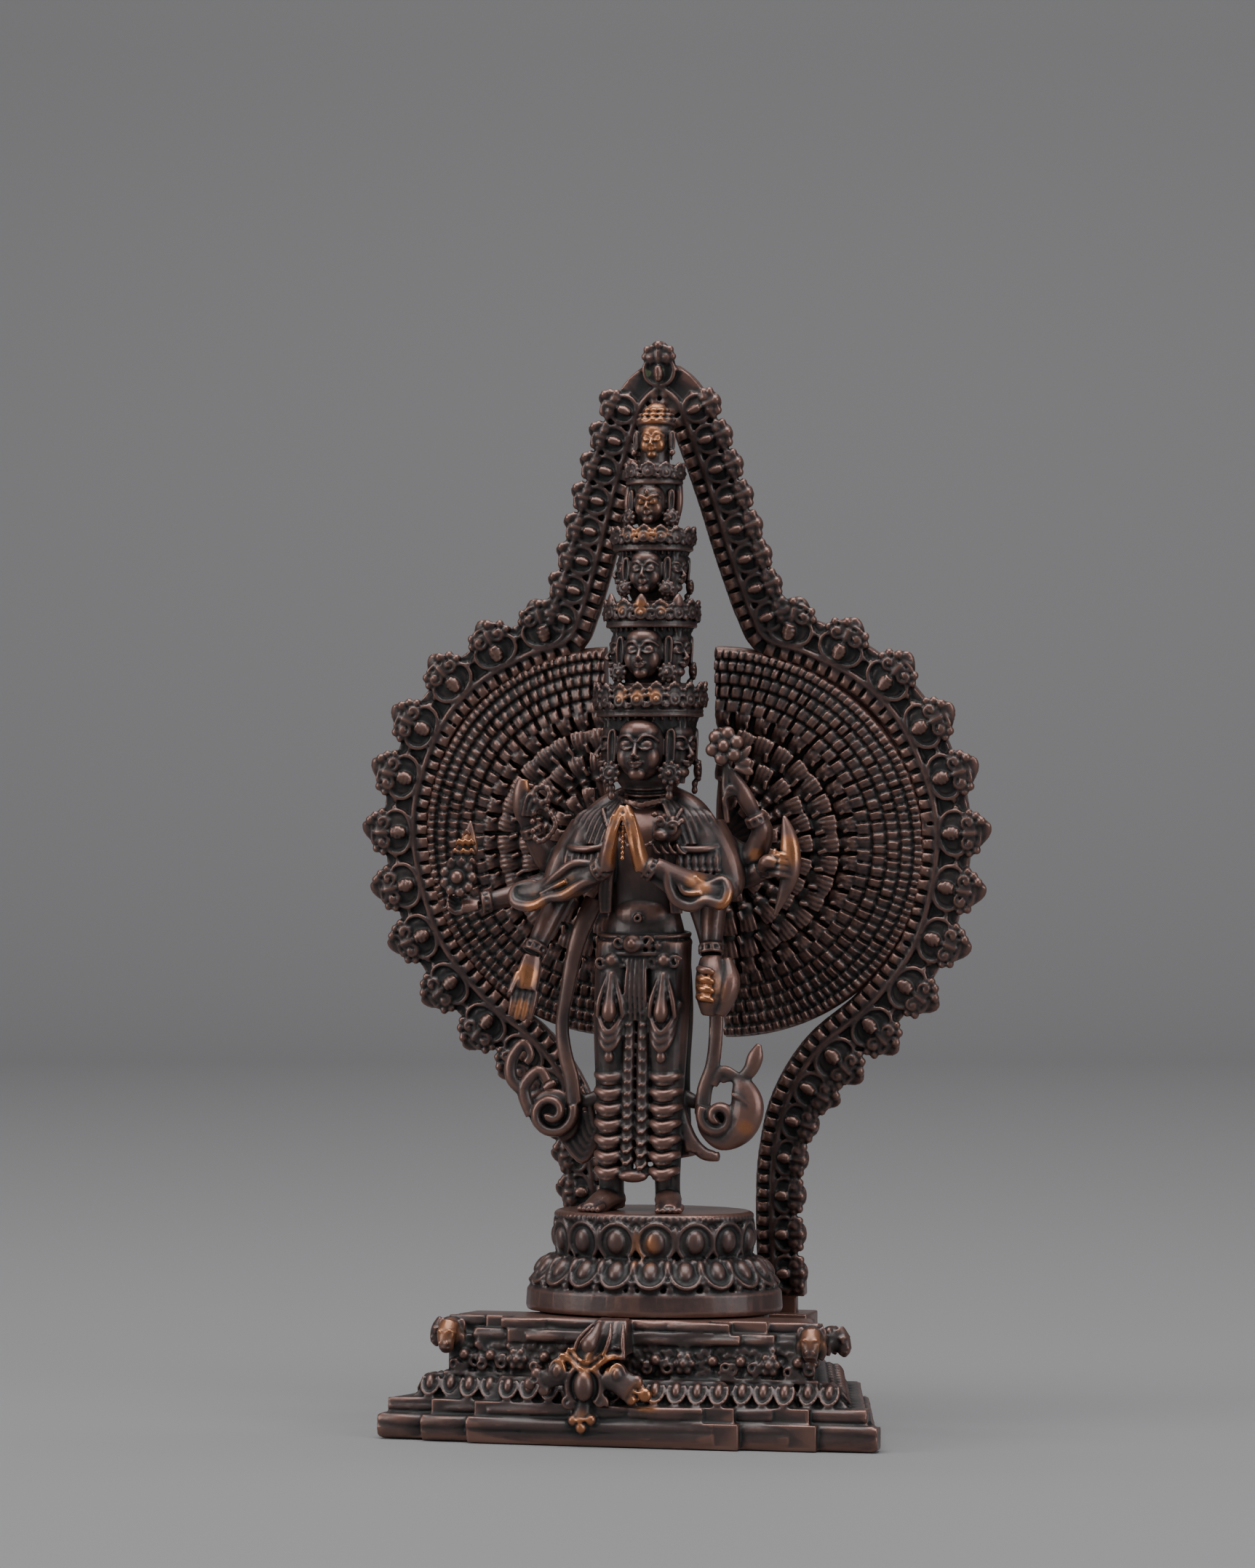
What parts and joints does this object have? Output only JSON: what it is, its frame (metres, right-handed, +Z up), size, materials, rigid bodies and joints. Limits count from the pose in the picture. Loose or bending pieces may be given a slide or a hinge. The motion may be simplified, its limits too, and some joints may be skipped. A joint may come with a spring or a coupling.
{
  "type": "avalokiteshvara statue",
  "caption": "Small standing eleven-headed, thousand-armed Avalokiteshvara in dark oxidised copper, on a lotus and stepped pedestal, before a flame-bordered aureole of hands.",
  "frame": {"origin": "on the floor plane, at the middle of the part's outline seen from above", "axes": "+Z up, -Y towards the viewer of the front, +X to that viewer's right"},
  "size_m": [0.1192, 0.0582, 0.2011],
  "materials": {
    "oxidised_copper": "dark oxidised copper, satin, rubbed to copper on the high spots"
  },
  "bodies": {
    "root": {"pedestal": "oxidised_copper", "figure": "oxidised_copper", "aureole": "oxidised_copper"}
  },
  "joints": []
}
